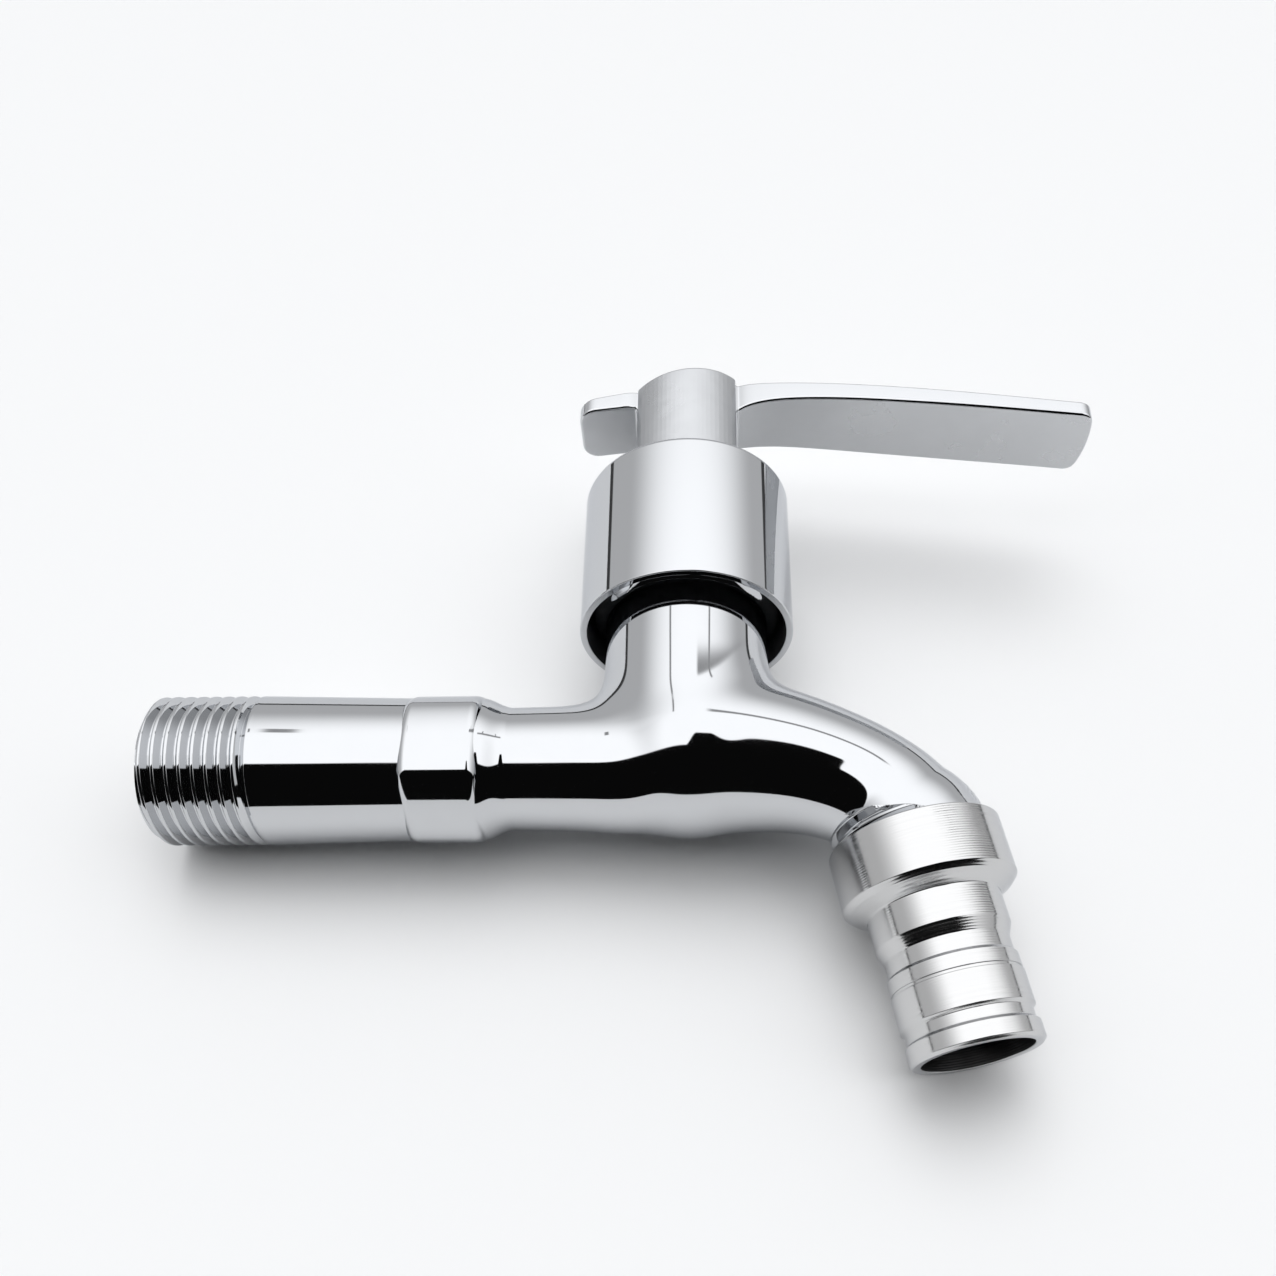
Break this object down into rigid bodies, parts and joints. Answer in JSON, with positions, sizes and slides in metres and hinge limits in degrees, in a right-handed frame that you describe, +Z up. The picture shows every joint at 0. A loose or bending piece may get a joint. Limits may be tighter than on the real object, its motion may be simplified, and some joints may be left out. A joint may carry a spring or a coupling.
{
  "type": "washing machine tap",
  "caption": "Chromed washing machine tap with threaded inlet shank, bent spout, stepped hose nozzle, bell cover and long quarter-turn lever handle.",
  "frame": {"origin": "centre of the inlet thread's free end, on the inlet's axis", "axes": "+X along the inlet's axis towards the spout, +Z up the valve stem, the spout points down"},
  "size_m": [0.1353, 0.031, 0.1082],
  "materials": {
    "chrome_body": "bright chrome plating",
    "chrome_cover": "bright chrome plating",
    "chrome_handle": "chrome plating, satin on the hub and under the blade",
    "turned_aluminium": "bright turned aluminium with fine tool rings",
    "brass": "machined brass",
    "zinc_steel": "zinc-plated steel",
    "black_rubber": "matt black rubber",
    "white_ceramic": null,
    "white_plastic": "slippery white plastic",
    "grey_cap": "chrome-coloured plastic",
    "fibre": "red fibre gasket"
  },
  "bodies": {
    "tap": {"tap_body": "chrome_body", "headwork_cover": "chrome_cover", "hose_nozzle": "turned_aluminium", "headwork_housing": "brass", "housing_gasket": "fibre", "thrust_washer": "white_plastic", "fixed_disc": "white_ceramic", "seat_seal": "black_rubber", "seal_support": "white_plastic", "nozzle_washer": "black_rubber"},
    "lever": {"lever_handle": "chrome_handle", "spindle": "brass", "spindle_o_ring_lower": "black_rubber", "spindle_o_ring_upper": "black_rubber", "spindle_clip": "zinc_steel", "moving_disc": "white_ceramic", "handle_screw": "zinc_steel", "screw_washer": "zinc_steel", "index_cap": "grey_cap"}
  },
  "joints": [
    {"name": "lever_turn", "type": "hinge", "parent": "tap", "child": "lever", "pos_m": [0.0735, 0, 0.045], "axis": [0, 0, 1], "range_deg": [0, 90]}
  ]
}
